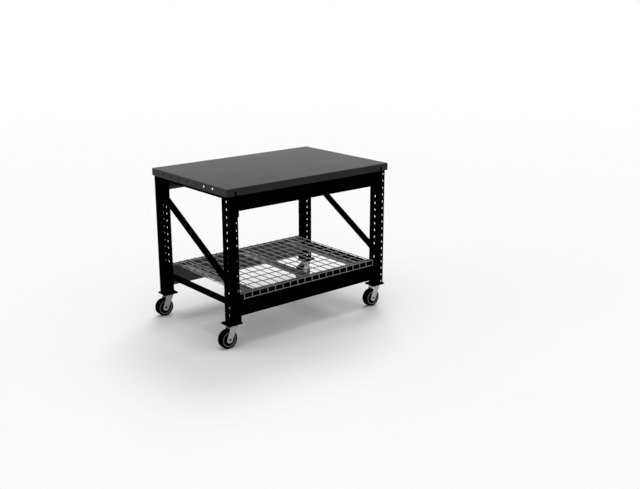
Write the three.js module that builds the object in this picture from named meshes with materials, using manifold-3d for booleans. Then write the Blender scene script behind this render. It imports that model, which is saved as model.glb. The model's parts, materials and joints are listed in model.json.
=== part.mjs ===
// Mobile steel assembly table: folded worktop, two braced end frames, box beams, wire deck and casters.
// Millimetres, +Z up, +X along the front, origin on the floor at the middle of the whole object's footprint.
import * as THREE from 'three';
import { mergeGeometries, mergeVertices } from 'three/addons/utils/BufferGeometryUtils.js';
import Module from 'manifold-3d';

const wasm = await Module();
wasm.setup();

// Fits
const GAP = 0.3;
const CUT = 5;
const JOIN = 1;

// End frames: overall size over the posts
const FRAME_LENGTH = 1371.6;
const FRAME_DEPTH = 914;

// Posts: lipped C channels, web outwards, open side towards the middle of the table
const POST_WIDTH = 76;
const POST_DEPTH = 76;
const POST_WALL = 2.5;
const POST_LIP = 18;
const POST_HEIGHT = 910;
const HOLE_WIDTH = 11;
const HOLE_HEIGHT = 18;
const HOLE_SIDES = 6;
const HOLE_PITCH = 50.8;
const HOLE_TOP_MARGIN = 40;
const WEB_HOLE_START = 23.1;
const WEB_HOLE_OFFSET = 19.5;
const FLANGE_HOLE_START = 14.7;
const FLANGE_HOLE_OFFSET = 21;

// Worktop: folded pan over the frame, lying a little to the right on it
const END_OVERHANG = 15.2;
const TOP_SHIFT = 4.4;
const TOP_SHEET = 2;
const TOP_CLEARANCE = 1.2;
const TOP_BEND_RADIUS = 2;
const TOP_CORNER_STEPS = 3;
const APRON_HEIGHT = 50.8;
const END_HOLE_COUNT = 7;
const END_HOLE_PITCH = 101.6;
const END_HOLE_RADIUS = 8;
const END_HOLE_RISE = 28.4;
const END_HOLE_SHIFT = 5;
const NOTCH_WIDTH = 14;
const NOTCH_HEIGHT = 31;
const NOTCH_INSET = 67;

// Foot plates, welded under the posts and shifted a little towards the middle
const FOOT_LENGTH = 112;
const FOOT_WIDTH = 98;
const FOOT_THICKNESS = 5;
const FOOT_INSET = 12;

// Braces and struts: rectangular tubes that run in between the posts' lips and end at their webs
const BRACE_SIDE_CLEARANCE = 2;
const BRACE_HEIGHT = 29;
const BRACE_WALL = 2;
const BOTTOM_STRUT_RISE = 134.6;
const DIAGONAL_LOW_RISE = 226.8;
const DIAGONAL_HIGH_DROP = 157.6;
const TOP_STRUT_SIDE_CLEARANCE = 7.5;
const TOP_STRUT_HEIGHT = 24.5;
const TOP_STRUT_DROP = 66.1;

// Beams: a channel, web outwards, closed by a liner that laps over its stepped flanges
const BEAM_HEIGHT = 148.5;
const BEAM_DEPTH = 44;
const BEAM_WALL = 2;
const BEAM_STEP = 6;
const BEAM_SETBACK = 10;
const UPPER_BEAM_DROP = 7.5;
const LOWER_BEAM_RISE = 42.7;

// Beam connectors: an angle on the post's side and front, with its lower corner cut off
const CONNECTOR_WALL = 4;
const CONNECTOR_SIDE = 60;
const CONNECTOR_FRONT = 20;
const CONNECTOR_CORNER = 12;
const CONNECTOR_FOOT_CLEARANCE = 1;

// Wire deck: wires from front to back over side-to-side wires, bent down over both beams
const WIRE = 6;
const WELD_DEPTH = 0.5;
const PRESS_DEPTH = 4.5;
const LONG_WIRE_COUNT = 19;
const CROSS_WIRE_COUNT = 9;
const DECK_END_CLEARANCE = 33.3;
const CROSS_WIRE_OVERHANG = 4;
const EDGE_WIRE_OVERHANG = 18;
const CROSS_WIRE_INSET = 50.6;
const EDGE_WIRE_INSET = 16;
const WATERFALL_DROP = 41.2;

// Deck support channels, open upwards, with flanges under the side-to-side wires
const CHANNEL_LEFT_INSET = 105;
const CHANNEL_RIGHT_INSET = 173;
const CHANNEL_CENTRE_SHIFT = -5;
const CHANNEL_WIDTH = 86;
const CHANNEL_HEIGHT = 14;
const CHANNEL_WALL = 1.5;
const CHANNEL_FLANGE = 14;
const CHANNEL_CLEARANCE = 1;

// Casters: wheel trailing towards -X
const WHEEL_RADIUS = 65;
const TYRE_WIDTH = 50;
const TYRE_THICKNESS = 13;
const TYRE_SHOULDER = 7;
const RIM_THICKNESS = 7;
const RIM_SETBACK = 1.5;
const WHEEL_WEB = 12;
const HUB_RADIUS = 14;
const HUB_PROUD = 1;
const WHEEL_SIDES = 20;
const AXLE_RADIUS = 5.5;
const AXLE_HEAD = 2;
const AXLE_HEAD_RADIUS = 7.5;
const PIN_SIDES = 12;
const CASTER_TRAIL = 38;
const CASTER_PLATE = 5;
const CASTER_PLATE_TRIM = 2;
const FORK_WALL = 4;
const FORK_CLEARANCE = 15;
const FORK_BOSS_RADIUS = 24;
const FORK_BOSS_STEPS = 8;
const FORK_TOP_WIDTH = 55;
const FORK_TOP_SHIFT = 2.5;
const CROWN_RADIUS = 41;
const CROWN_HEIGHT = 11;
const CROWN_CHAMFER = 3;
const KINGPIN_RADIUS = 6;
const KINGPIN_NUT = 7;
const KINGPIN_NUT_RADIUS = 10;
const KINGPIN_RECESS = 1;

// Places worked out from the driving sizes
const POST_X = (FRAME_LENGTH - POST_WIDTH) / 2;
const FRONT_Y = -FRAME_DEPTH / 2;
const FOOT_Y = FRONT_Y + POST_DEPTH / 2 + FOOT_INSET;
const FORK_TOP = 2 * WHEEL_RADIUS + FORK_CLEARANCE + FORK_WALL;
const CASTER_HEIGHT = FORK_TOP + CROWN_HEIGHT + GAP + CASTER_PLATE;
const FOOT_Z = CASTER_HEIGHT + GAP;
const POST_Z = FOOT_Z + FOOT_THICKNESS + GAP;
const POST_TOP_Z = POST_Z + POST_HEIGHT;
const TOP_Z = POST_TOP_Z + GAP + TOP_SHEET;
const TOP_LENGTH = FRAME_LENGTH + 2 * END_OVERHANG;
const TOP_DEPTH = FRAME_DEPTH + 2 * (GAP + CONNECTOR_WALL + TOP_CLEARANCE + TOP_SHEET);
const BAY = 2 * POST_X - POST_WIDTH;
const BEAM_LENGTH = BAY - 2 * (2 * GAP + CONNECTOR_WALL);
const BEAM_FRONT_Y = FRONT_Y + BEAM_SETBACK;
const LOWER_BEAM_Z = POST_Z + LOWER_BEAM_RISE;
const UPPER_BEAM_Z = POST_TOP_Z - UPPER_BEAM_DROP - BEAM_HEIGHT;
const CONNECTOR_DROP = LOWER_BEAM_RISE - CONNECTOR_FOOT_CLEARANCE;
const LEFT_END = Math.min(-POST_X - CASTER_TRAIL - WHEEL_RADIUS, TOP_SHIFT - TOP_LENGTH / 2);
const RIGHT_END = Math.max(POST_X - CASTER_TRAIL + WHEEL_RADIUS, TOP_SHIFT + TOP_LENGTH / 2);
const ORIGIN_SHIFT = -(LEFT_END + RIGHT_END) / 2;

function finish(color, roughness, metalness) {
  return new THREE.MeshStandardMaterial({ color, roughness, metalness });
}

const FINISHES = {
  greyPaint: finish(0x6a6a6a, 0.5, 0.2),
  blackPaint: finish(0x080808, 0.45, 0.2),
  linerPaint: finish(0x2e2e2e, 0.5, 0.2),
  wire: finish(0x5c5c5c, 0.45, 0.6),
  channel: finish(0x4a4a4a, 0.45, 0.6),
  zinc: finish(0x9a9a98, 0.35, 0.8),
  darkSteel: finish(0x151515, 0.4, 0.6),
  wheelCore: finish(0x555555, 0.5, 0.5),
  rubber: finish(0x0a0a0a, 0.7, 0),
};

const table = new THREE.Group();

// A closed geometry as a solid for cutting and joining.
function solid(geometry) {
  const bare = geometry.index ? geometry.toNonIndexed() : geometry.clone();
  bare.deleteAttribute('normal');
  bare.deleteAttribute('uv');
  const merged = mergeVertices(bare, 1e-4);
  return new wasm.Manifold(new wasm.Mesh({
    numProp: 3,
    vertProperties: new Float32Array(merged.attributes.position.array),
    triVerts: new Uint32Array(merged.index.array),
  }));
}

// Adds a finished piece, given as a geometry or a solid, as a named mesh.
function piece(parent, name, shape, material) {
  const { vertProperties, triVerts } = (shape.isBufferGeometry ? solid(shape) : shape).getMesh();
  const geometry = new THREE.BufferGeometry();
  geometry.setAttribute('position', new THREE.BufferAttribute(vertProperties, 3));
  geometry.setIndex(new THREE.BufferAttribute(triVerts, 1));
  geometry.computeVertexNormals();
  const mesh = new THREE.Mesh(geometry, material);
  mesh.name = name;
  parent.add(mesh);
  return mesh;
}

function block(x0, x1, y0, y1, z0, z1) {
  return new THREE.BoxGeometry(x1 - x0, y1 - y0, z1 - z0)
    .translate((x0 + x1) / 2, (y0 + y1) / 2, (z0 + z1) / 2);
}

// A flat outline, given as points or a shape, pushed along +Z.
function prism(outline, length) {
  const drawn = outline instanceof THREE.Shape;
  const shape = drawn ? outline : new THREE.Shape(outline.map(([x, y]) => new THREE.Vector2(x, y)));
  const settings = { depth: length, bevelEnabled: false, curveSegments: TOP_CORNER_STEPS };
  return new THREE.ExtrudeGeometry(shape, settings);
}

// Turns a prism drawn in (y, z) so that it runs along +X, starting at x0.
function alongX(geometry, x0) {
  return geometry.rotateY(Math.PI / 2).rotateX(Math.PI / 2).translate(x0, 0, 0);
}

// Turns a prism drawn in (x, z) so that it runs along +Y, starting at y0.
function alongY(geometry, y0) {
  const length = new THREE.Box3().setFromBufferAttribute(geometry.attributes.position).max.z;
  return geometry.rotateX(Math.PI / 2).translate(0, y0 + length, 0);
}

function rod(radius, length, sides) {
  return new THREE.CylinderGeometry(radius, radius, length, sides);
}

// A closed ring turned about the Y axis from (radius, height) points in counter-clockwise order.
function turned(points, sides) {
  const profile = [...points, points[0]].map(([r, y]) => new THREE.Vector2(r, y));
  return new THREE.LatheGeometry(profile, sides);
}

// A solid of revolution about the Y axis whose (radius, height) points start and end on the axis.
function spindle(points, sides) {
  return new THREE.LatheGeometry(points.map(([r, y]) => new THREE.Vector2(r, y)), sides);
}

function roundedRectangle(length, width, radius) {
  const [x, y, r] = [length / 2, width / 2, radius];
  const shape = new THREE.Shape();
  shape.moveTo(-x + r, -y).lineTo(x - r, -y).absarc(x - r, -y + r, r, -Math.PI / 2, 0);
  shape.lineTo(x, y - r).absarc(x - r, y - r, r, 0, Math.PI / 2);
  shape.lineTo(-x + r, y).absarc(-x + r, y - r, r, Math.PI / 2, Math.PI);
  shape.lineTo(-x, -y + r).absarc(-x + r, -y + r, r, Math.PI, 1.5 * Math.PI);
  return shape;
}

// Worktop: a pan with its open side down, holes through both end aprons, notches up from both long aprons.
function buildWorktop() {
  const outer = prism(roundedRectangle(TOP_LENGTH, TOP_DEPTH, TOP_BEND_RADIUS + TOP_SHEET), APRON_HEIGHT);
  const hollow = roundedRectangle(TOP_LENGTH - 2 * TOP_SHEET, TOP_DEPTH - 2 * TOP_SHEET, TOP_BEND_RADIUS);
  const inner = prism(hollow, APRON_HEIGHT - TOP_SHEET + CUT).translate(0, 0, -CUT);
  const cuts = [];
  for (let i = 0; i < END_HOLE_COUNT; i++) {
    const y = (i - (END_HOLE_COUNT - 1) / 2) * END_HOLE_PITCH + END_HOLE_SHIFT;
    cuts.push(rod(END_HOLE_RADIUS, TOP_LENGTH + CUT, HOLE_SIDES).rotateZ(Math.PI / 2)
      .translate(0, y, END_HOLE_RISE));
  }
  for (const side of [-1, 1]) {
    const x = side * (TOP_LENGTH / 2 - NOTCH_INSET);
    cuts.push(block(x - NOTCH_WIDTH / 2, x + NOTCH_WIDTH / 2, -TOP_DEPTH, TOP_DEPTH, -CUT, NOTCH_HEIGHT));
  }
  const pan = cuts.reduce((body, cut) => body.subtract(solid(cut)), solid(outer).subtract(solid(inner)));
  piece(table, 'worktop', pan, FINISHES.greyPaint).position.set(TOP_SHIFT, 0, TOP_Z - APRON_HEIGHT);
}

// Post: origin at the middle of its web's outer face, at its foot; the open side looks along +Y.
function postSolid() {
  const [x, y, t, lip] = [POST_WIDTH / 2, POST_DEPTH, POST_WALL, POST_WIDTH / 2 - POST_LIP];
  const outline = [[-x, 0], [x, 0], [x, y], [lip, y], [lip, y - t], [x - t, y - t], [x - t, t],
    [-x + t, t], [-x + t, y - t], [-lip, y - t], [-lip, y], [-x, y]];
  const cuts = [];
  const upTo = POST_HEIGHT - HOLE_TOP_MARGIN;
  const hole = (length) => rod(HOLE_WIDTH / 2, length, HOLE_SIDES).scale(1, 1, HOLE_HEIGHT / HOLE_WIDTH);
  for (let z = WEB_HOLE_START; z <= upTo; z += HOLE_PITCH) {
    for (const side of [-1, 1]) {
      cuts.push(hole(2 * (POST_WALL + CUT)).translate(side * WEB_HOLE_OFFSET, 0, z));
    }
  }
  for (let z = FLANGE_HOLE_START; z <= upTo; z += HOLE_PITCH) {
    cuts.push(hole(POST_WIDTH + CUT).rotateZ(Math.PI / 2).translate(0, FLANGE_HOLE_OFFSET, z));
  }
  return cuts.reduce((body, cut) => body.subtract(solid(cut)), solid(prism(outline, POST_HEIGHT)));
}

// Beam connector on one side of the bay: a side leg beside the post and a front leg over its web.
function connectorSolid(inward) {
  const [base, top, front] = [-CONNECTOR_DROP, BEAM_HEIGHT, -GAP - CONNECTOR_WALL];
  const [side, corner] = [CONNECTOR_SIDE, CONNECTOR_CORNER];
  const outline = [[corner, base], [side - corner, base], [side, base + corner], [side, top], [front, top],
    [front, base + corner]];
  const legX = inward > 0 ? GAP : front;
  const frontX = inward > 0 ? [-CONNECTOR_FRONT, -front] : [front, CONNECTOR_FRONT];
  const sideLeg = alongX(prism(outline, CONNECTOR_WALL), legX);
  const frontLeg = block(...frontX, front, -GAP, base + corner, top);
  return solid(sideLeg).add(solid(frontLeg));
}

// Outer channel of a beam, front face at y = 0, bottom at z = 0; its flanges step in under the liner's.
function beamGeometry() {
  const [h, t, step, end] = [BEAM_HEIGHT, BEAM_WALL, BEAM_STEP, BEAM_DEPTH - BEAM_WALL - GAP];
  const [z0, z1] = [BEAM_WALL + GAP, BEAM_HEIGHT - BEAM_WALL - GAP];
  const outline = [[0, 0], [step, 0], [step, z0], [end, z0], [end, z0 + t], [t, z0 + t], [t, z1 - t],
    [end, z1 - t], [end, z1], [step, z1], [step, h], [0, h]];
  return alongX(prism(outline, BEAM_LENGTH), -BEAM_LENGTH / 2);
}

// Liner: a channel whose web is the beam's inner face and whose flanges lie over the outer channel's.
function linerGeometry() {
  const [y0, y1, h, t] = [BEAM_STEP + GAP, BEAM_DEPTH, BEAM_HEIGHT, BEAM_WALL];
  const outline = [[y0, 0], [y1, 0], [y1, h], [y0, h], [y0, h - t], [y1 - t, h - t], [y1 - t, t], [y0, t]];
  return alongX(prism(outline, BEAM_LENGTH), -BEAM_LENGTH / 2);
}

// Front and back rows are the same pieces; the back row is turned half round about Z.
function buildRow(rowName, turn) {
  const row = new THREE.Group();
  row.rotation.z = turn;
  table.add(row);
  const post = postSolid();
  for (const side of [-1, 1]) {
    const corner = `${rowName}_${(turn ? -side : side) < 0 ? 'left' : 'right'}`;
    piece(row, `post_${corner}`, post, FINISHES.blackPaint).position.set(side * POST_X, FRONT_Y, POST_Z);
    const foot = block(-FOOT_LENGTH / 2, FOOT_LENGTH / 2, -FOOT_WIDTH / 2, FOOT_WIDTH / 2, 0, FOOT_THICKNESS);
    piece(row, `foot_plate_${corner}`, foot, FINISHES.blackPaint)
      .position.set(side * POST_X, FOOT_Y, FOOT_Z);
    for (const [level, z] of [['upper', UPPER_BEAM_Z], ['lower', LOWER_BEAM_Z]]) {
      piece(row, `connector_${level}_${corner}`, connectorSolid(-side), FINISHES.blackPaint)
        .position.set(side * BAY / 2, FRONT_Y, z);
    }
  }
  for (const [level, z] of [['upper', UPPER_BEAM_Z], ['lower', LOWER_BEAM_Z]]) {
    piece(row, `${level}_${rowName}_beam`, beamGeometry(), FINISHES.blackPaint)
      .position.set(0, BEAM_FRONT_Y, z);
    piece(row, `${level}_${rowName}_beam_liner`, linerGeometry(), FINISHES.linerPaint)
      .position.set(0, BEAM_FRONT_Y, z);
  }
}

// A brace tube from the web of a front post, at height z0, to the web of a back post, at height z1.
function braceSolid(z0, z1, height, sideClearance) {
  const width = POST_WIDTH - 2 * POST_LIP - 2 * sideClearance;
  const reach = FRAME_DEPTH / 2 - POST_WALL - GAP;
  const slope = (z1 - z0) / (2 * reach);
  const upright = Math.hypot(1, slope);
  const bar = (y, half, side) => {
    const at = (yy) => (z0 + z1) / 2 + slope * yy;
    const h = half * upright;
    const outline = [[-y, at(-y) - h], [y, at(y) - h], [y, at(y) + h], [-y, at(-y) + h]];
    return solid(alongX(prism(outline, 2 * side), -side));
  };
  return bar(reach, height / 2, width / 2)
    .subtract(bar(reach + CUT, height / 2 - BRACE_WALL, width / 2 - BRACE_WALL));
}

function buildBraces() {
  const [low, high] = [POST_Z + DIAGONAL_LOW_RISE, POST_TOP_Z - DIAGONAL_HIGH_DROP];
  const [bottom, top] = [POST_Z + BOTTOM_STRUT_RISE, POST_TOP_Z - TOP_STRUT_DROP];
  const bars = {
    diagonal_brace: braceSolid(low, high, BRACE_HEIGHT, BRACE_SIDE_CLEARANCE),
    bottom_strut: braceSolid(bottom, bottom, BRACE_HEIGHT, BRACE_SIDE_CLEARANCE),
    top_strut: braceSolid(top, top, TOP_STRUT_HEIGHT, TOP_STRUT_SIDE_CLEARANCE),
  };
  for (const [name, bar] of Object.entries(bars)) {
    piece(table, `${name}_left`, bar, FINISHES.blackPaint).position.x = -POST_X;
    piece(table, `${name}_right`, bar, FINISHES.blackPaint).position.x = POST_X;
  }
}

// Wire deck: square wires pressed into one another; the long ones are staples with legs over both beams.
function buildDeck() {
  const crossZ = LOWER_BEAM_Z + BEAM_HEIGHT + GAP;
  const longZ = crossZ + WIRE - PRESS_DEPTH;
  const outerX = BAY / 2 - DECK_END_CLEARANCE;
  const legY = -BEAM_FRONT_Y + GAP + WIRE - WELD_DEPTH;
  const lowZ = longZ + WIRE - WATERFALL_DROP;
  const outerY = legY + WIRE;
  const staple = [[-outerY, lowZ], [-legY, lowZ], [-legY, longZ], [legY, longZ], [legY, lowZ], [outerY, lowZ],
    [outerY, longZ + WIRE], [-outerY, longZ + WIRE]];
  const pitch = 2 * outerX / (LONG_WIRE_COUNT - 1);
  const longs = [];
  for (let i = 0; i < LONG_WIRE_COUNT; i++) {
    longs.push(alongX(prism(staple, WIRE), (i - (LONG_WIRE_COUNT - 1) / 2) * pitch - WIRE / 2));
  }
  const crossWire = (y, z, overhang) => {
    const half = outerX + overhang;
    return block(-half, half, y - WIRE / 2, y + WIRE / 2, z, z + WIRE);
  };
  const first = FRONT_Y + CROSS_WIRE_INSET;
  const step = -2 * first / (CROSS_WIRE_COUNT - 1);
  const crosses = [];
  for (let i = 0; i < CROSS_WIRE_COUNT; i++) {
    crosses.push(crossWire(first + i * step, crossZ, CROSS_WIRE_OVERHANG));
  }
  for (const side of [-1, 1]) {
    crosses.push(crossWire(side * (FRONT_Y + EDGE_WIRE_INSET), crossZ, EDGE_WIRE_OVERHANG));
    crosses.push(crossWire(side * (-BEAM_FRONT_Y + GAP + WIRE / 2), lowZ, CROSS_WIRE_OVERHANG));
  }
  const grid = solid(mergeGeometries(longs)).add(solid(mergeGeometries(crosses)));
  piece(table, 'wire_deck', grid, FINISHES.wire);
}

// Deck channels: shallow troughs with two flanges, under the side-to-side wires between the lower beams.
function buildChannels() {
  const [w, h, t, f] = [CHANNEL_WIDTH / 2, CHANNEL_HEIGHT, CHANNEL_WALL, CHANNEL_FLANGE];
  const hat = [[-w, 0], [-w, -t], [-w + f - t, -t], [-w + f - t, -h], [w - f + t, -h], [w - f + t, -t],
    [w, -t], [w, 0], [w - f, 0], [w - f, -h + t], [-w + f, -h + t], [-w + f, 0]];
  const reach = -BEAM_FRONT_Y - BEAM_DEPTH - CHANNEL_CLEARANCE;
  const places = {
    left: CHANNEL_LEFT_INSET - BAY / 2,
    centre: CHANNEL_CENTRE_SHIFT,
    right: BAY / 2 - CHANNEL_RIGHT_INSET,
  };
  for (const [place, x] of Object.entries(places)) {
    piece(table, `deck_channel_${place}`, alongY(prism(hat, 2 * reach), -reach), FINISHES.channel)
      .position.set(x, 0, LOWER_BEAM_Z + BEAM_HEIGHT);
  }
}

// Fork: a crown ring over a bridge with two legs that lean back to the axle; origin under the kingpin.
function forkSolid() {
  const inner = TYRE_WIDTH / 2 + HUB_PROUD + GAP;
  const outer = inner + FORK_WALL;
  const bridgeZ = FORK_TOP - FORK_WALL;
  const [x0, x1] = [-FORK_TOP_SHIFT - FORK_TOP_WIDTH / 2, -FORK_TOP_SHIFT + FORK_TOP_WIDTH / 2];
  const outline = [];
  for (let i = 0; i <= FORK_BOSS_STEPS; i++) {
    const angle = Math.PI * (1 + i / FORK_BOSS_STEPS);
    const [dx, dz] = [FORK_BOSS_RADIUS * Math.cos(angle), FORK_BOSS_RADIUS * Math.sin(angle)];
    outline.push([dx - CASTER_TRAIL, dz + WHEEL_RADIUS]);
  }
  outline.push([x1, bridgeZ], [x1, FORK_TOP], [x0, FORK_TOP], [x0, bridgeZ]);
  const bridge = solid(block(x0, x1, -outer, outer, bridgeZ, FORK_TOP));
  const nearLeg = solid(alongY(prism(outline, FORK_WALL), -outer));
  const farLeg = solid(alongY(prism(outline, FORK_WALL), inner));
  const [ringZ, crownZ, bore] = [FORK_TOP - JOIN, FORK_TOP + CROWN_HEIGHT, KINGPIN_RADIUS + GAP];
  const crown = [[bore, ringZ], [CROWN_RADIUS - CROWN_CHAMFER, ringZ], [CROWN_RADIUS, ringZ + CROWN_CHAMFER],
    [CROWN_RADIUS, crownZ], [bore, crownZ]];
  const ring = turned(crown, WHEEL_SIDES).rotateX(Math.PI / 2);
  const pinHole = rod(bore, CASTER_HEIGHT, WHEEL_SIDES).rotateX(Math.PI / 2).translate(0, 0, FORK_TOP);
  const axleHole = rod(AXLE_RADIUS + GAP, 2 * (outer + CUT), PIN_SIDES)
    .translate(-CASTER_TRAIL, 0, WHEEL_RADIUS);
  const body = bridge.add(nearLeg).add(farLeg).add(solid(ring));
  return body.subtract(solid(pinHole)).subtract(solid(axleHole));
}

// Axle through both legs, with a flat head on each end.
function axleGeometry() {
  const half = TYRE_WIDTH / 2 + HUB_PROUD + GAP + FORK_WALL + GAP;
  const end = half + AXLE_HEAD;
  return spindle([[0, -end], [AXLE_HEAD_RADIUS, -end], [AXLE_HEAD_RADIUS, -half], [AXLE_RADIUS, -half],
    [AXLE_RADIUS, half], [AXLE_HEAD_RADIUS, half], [AXLE_HEAD_RADIUS, end], [0, end]], PIN_SIDES);
}

// Kingpin: nut under the fork's bridge, shank up through the crown and the top plate.
function kingpinGeometry() {
  const nutTop = FORK_TOP - FORK_WALL - GAP;
  const nutBase = nutTop - KINGPIN_NUT;
  const top = CASTER_HEIGHT - KINGPIN_RECESS;
  const profile = [[0, nutBase], [KINGPIN_NUT_RADIUS, nutBase], [KINGPIN_NUT_RADIUS, nutTop],
    [KINGPIN_RADIUS, nutTop], [KINGPIN_RADIUS, top], [0, top]];
  return spindle(profile, PIN_SIDES).rotateX(Math.PI / 2);
}

// Wheel core: hub, thin web and rim in one turned piece.
function coreGeometry() {
  const [bore, hub] = [AXLE_RADIUS + GAP, TYRE_WIDTH / 2 + HUB_PROUD];
  const rim = WHEEL_RADIUS - TYRE_THICKNESS - GAP;
  const [rimIn, web, edge] = [rim - RIM_THICKNESS, WHEEL_WEB / 2, TYRE_WIDTH / 2 - RIM_SETBACK];
  const profile = [[bore, -hub], [HUB_RADIUS, -hub], [HUB_RADIUS, -web], [rimIn, -web], [rimIn, -edge],
    [rim, -edge], [rim, edge], [rimIn, edge], [rimIn, web], [HUB_RADIUS, web], [HUB_RADIUS, hub],
    [bore, hub]];
  return turned(profile, WHEEL_SIDES);
}

function tyreGeometry() {
  const [bore, r, w, s] = [WHEEL_RADIUS - TYRE_THICKNESS, WHEEL_RADIUS, TYRE_WIDTH / 2, TYRE_SHOULDER];
  const bow = s * (1 - Math.SQRT1_2);
  const profile = [[bore, -w], [r - s, -w], [r - bow, -w + bow], [r, -w + s], [r, w - s], [r - bow, w - bow],
    [r - s, w], [bore, w]];
  return turned(profile, WHEEL_SIDES);
}

function buildCaster(corner, x, y) {
  const caster = new THREE.Group();
  caster.position.set(x, y, 0);
  table.add(caster);
  const [px, py] = [FOOT_LENGTH / 2 - CASTER_PLATE_TRIM, FOOT_WIDTH / 2 - CASTER_PLATE_TRIM];
  const hole = rod(KINGPIN_RADIUS + GAP, CASTER_HEIGHT, PIN_SIDES).rotateX(Math.PI / 2);
  const plate = solid(block(-px, px, -py, py, -CASTER_PLATE, 0)).subtract(solid(hole));
  piece(caster, `caster_plate_${corner}`, plate, FINISHES.blackPaint).position.z = CASTER_HEIGHT;
  piece(caster, `kingpin_${corner}`, kingpinGeometry(), FINISHES.darkSteel);
  piece(caster, `fork_${corner}`, forkSolid(), FINISHES.zinc);
  const wheel = new THREE.Group();
  wheel.position.set(-CASTER_TRAIL, 0, WHEEL_RADIUS);
  caster.add(wheel);
  piece(wheel, `axle_${corner}`, axleGeometry(), FINISHES.darkSteel);
  piece(wheel, `wheel_core_${corner}`, coreGeometry(), FINISHES.wheelCore);
  piece(wheel, `tyre_${corner}`, tyreGeometry(), FINISHES.rubber);
}

buildWorktop();
buildRow('front', 0);
buildRow('back', Math.PI);
buildBraces();
buildDeck();
buildChannels();
for (const [rowName, y] of [['front', FOOT_Y], ['back', -FOOT_Y]]) {
  buildCaster(`${rowName}_left`, -POST_X, y);
  buildCaster(`${rowName}_right`, POST_X, y);
}
table.position.x = ORIGIN_SHIFT;

export default table;
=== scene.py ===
"""Dressed model of a mobile steel assembly table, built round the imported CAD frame.

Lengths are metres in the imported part's frame: +X along the front, +Y towards the back, +Z up, floor at z = 0.
"""

from __future__ import annotations

import json
import logging
import math
from collections.abc import Iterator
from contextlib import contextmanager
from dataclasses import dataclass, field
from enum import Enum, IntEnum
from typing import Any

import bmesh
import bpy
import numpy as np
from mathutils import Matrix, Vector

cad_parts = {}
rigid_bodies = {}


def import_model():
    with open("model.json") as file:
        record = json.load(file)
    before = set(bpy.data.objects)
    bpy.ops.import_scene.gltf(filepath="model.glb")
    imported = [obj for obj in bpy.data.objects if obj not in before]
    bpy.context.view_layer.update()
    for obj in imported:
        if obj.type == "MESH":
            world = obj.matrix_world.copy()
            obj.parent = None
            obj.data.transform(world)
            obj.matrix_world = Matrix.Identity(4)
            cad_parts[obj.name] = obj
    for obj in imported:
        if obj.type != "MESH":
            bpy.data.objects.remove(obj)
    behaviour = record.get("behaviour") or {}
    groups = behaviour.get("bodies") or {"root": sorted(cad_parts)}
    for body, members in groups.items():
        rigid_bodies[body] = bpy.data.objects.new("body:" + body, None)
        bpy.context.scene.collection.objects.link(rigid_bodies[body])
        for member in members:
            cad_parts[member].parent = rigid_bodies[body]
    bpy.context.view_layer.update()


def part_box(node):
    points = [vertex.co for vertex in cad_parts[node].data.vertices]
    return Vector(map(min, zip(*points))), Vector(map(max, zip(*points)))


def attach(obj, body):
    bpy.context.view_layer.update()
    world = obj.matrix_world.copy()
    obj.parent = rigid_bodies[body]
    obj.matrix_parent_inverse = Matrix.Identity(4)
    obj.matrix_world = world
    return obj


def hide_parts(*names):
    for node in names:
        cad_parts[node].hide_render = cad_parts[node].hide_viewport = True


LOG = logging.getLogger("assembly_table")
WELD_DISTANCE = 2e-6
MERGE_DISTANCE = 1e-5
FLAT_ANGLE = math.radians(1)
SHARP_ANGLE = math.radians(28)
BEVEL_ANGLE = math.radians(40)
BEVEL_SEGMENTS = 2
LENGTH_DIGITS = 9
HOLE_STEPS = 24
FIRST_CORNER = math.radians(-135)
RIGHT_ANGLE = math.pi / 2
NOISE_ROUGHNESS, NOISE_MIDDLE = 0.55, 0.5
SOFT_DETAIL, FINE_DETAIL = 3.0, 1.0
MIX_FACTOR, MIX_FIRST, MIX_SECOND, MIX_RESULT = 0, 6, 7, 2
SHOWING_RAYS = ("Camera", "Glossy", "Transmission")
BOTH_WAYS = np.array([-1.0, 1.0])
FRAME_BODY = "frame"

Array = np.ndarray
Colour = tuple[float, float, float, float]


class Corner(Enum):
    """The table's four corners, by the ending of their nodes' names."""

    FRONT_LEFT = "front_left"
    FRONT_RIGHT = "front_right"
    BACK_LEFT = "back_left"
    BACK_RIGHT = "back_right"

    @property
    def is_back(self) -> bool:
        """True for the two corners of the back row."""
        return self.value.startswith("back")


class Axis(IntEnum):
    """The axes of the frame, by their numbers."""

    X = 0
    Y = 1
    Z = 2


class Value:
    """One output of a shader graph; arithmetic on it adds Math nodes."""

    def __init__(self, graph: Graph, socket: bpy.types.NodeSocket) -> None:
        """Wraps a socket of the given graph."""
        self.graph = graph
        self.socket = socket

    def _math(self, operation: str, first: Any, second: Any) -> Value:
        """Adds a Math node on two values."""
        return self.graph.node("ShaderNodeMath", {"operation": operation}, {0: first, 1: second})

    def __add__(self, other: Value | float) -> Value:
        """Sum."""
        return self._math("ADD", self, other)

    def __sub__(self, other: Value | float) -> Value:
        """Difference."""
        return self._math("SUBTRACT", self, other)

    def __rsub__(self, other: float) -> Value:
        """Difference from a number on the left."""
        return self._math("SUBTRACT", other, self)

    def __mul__(self, other: Value | float) -> Value:
        """Product."""
        return self._math("MULTIPLY", self, other)

    __radd__ = __add__
    __rmul__ = __mul__

    def at_most(self, other: Value | float) -> Value:
        """The lesser of two values."""
        return self._math("MINIMUM", self, other)

    def at_least(self, other: Value | float) -> Value:
        """The greater of two values."""
        return self._math("MAXIMUM", self, other)


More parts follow.
